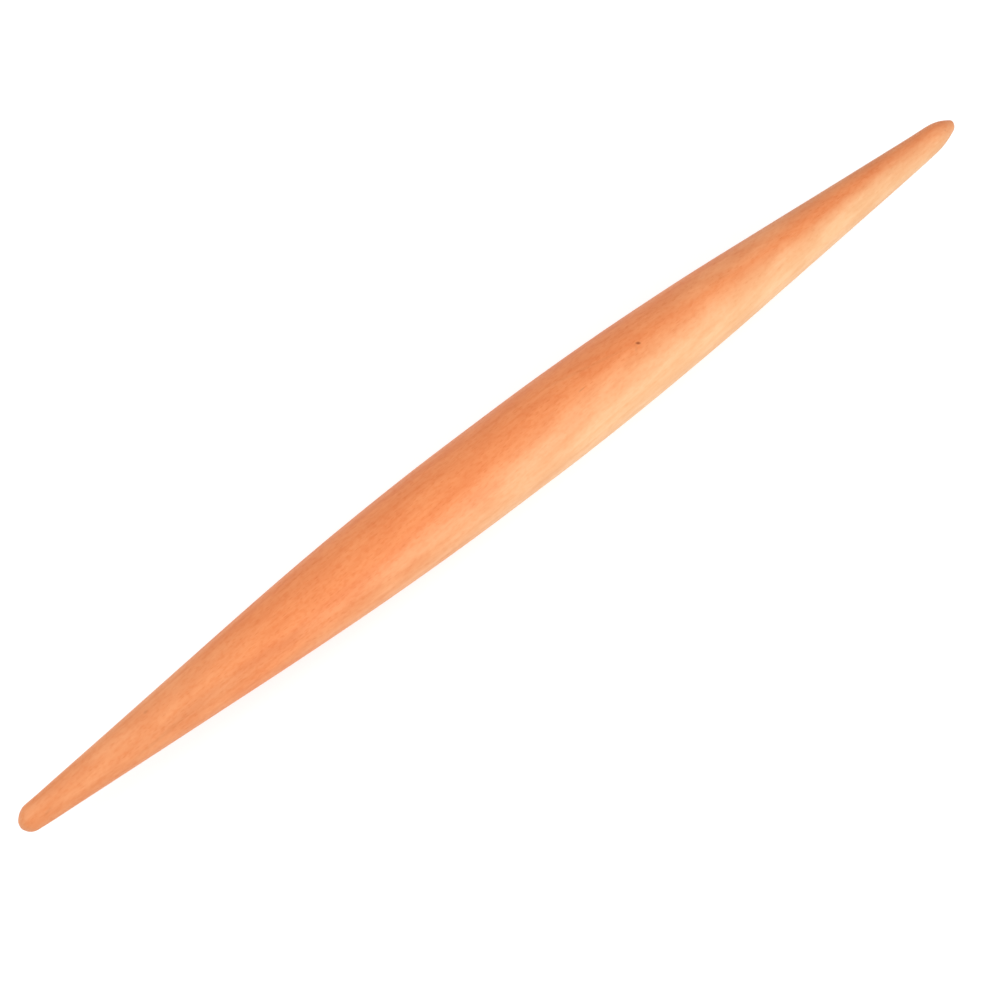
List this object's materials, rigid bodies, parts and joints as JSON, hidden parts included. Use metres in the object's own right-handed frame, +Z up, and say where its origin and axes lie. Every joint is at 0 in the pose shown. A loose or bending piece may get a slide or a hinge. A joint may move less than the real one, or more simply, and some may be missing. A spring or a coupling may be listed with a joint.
{
  "type": "rolling pin",
  "caption": "One-piece tapered wooden rolling pin with a thick middle and slim rounded tips, rolled under the palms to flatten dough.",
  "frame": {"origin": "on the board's surface, straight under the turning axis at mid-length", "axes": "+X runs parallel to the turning axis, which is one belly radius above it, towards the slimmer right tip; +Z points up from the board"},
  "size_m": [0.28, 0.0216, 0.0215],
  "materials": {
    "turned_hardwood": "sanded bare wood, satin"
  },
  "bodies": {
    "root": {"rolling_pin": "turned_hardwood"}
  },
  "joints": []
}
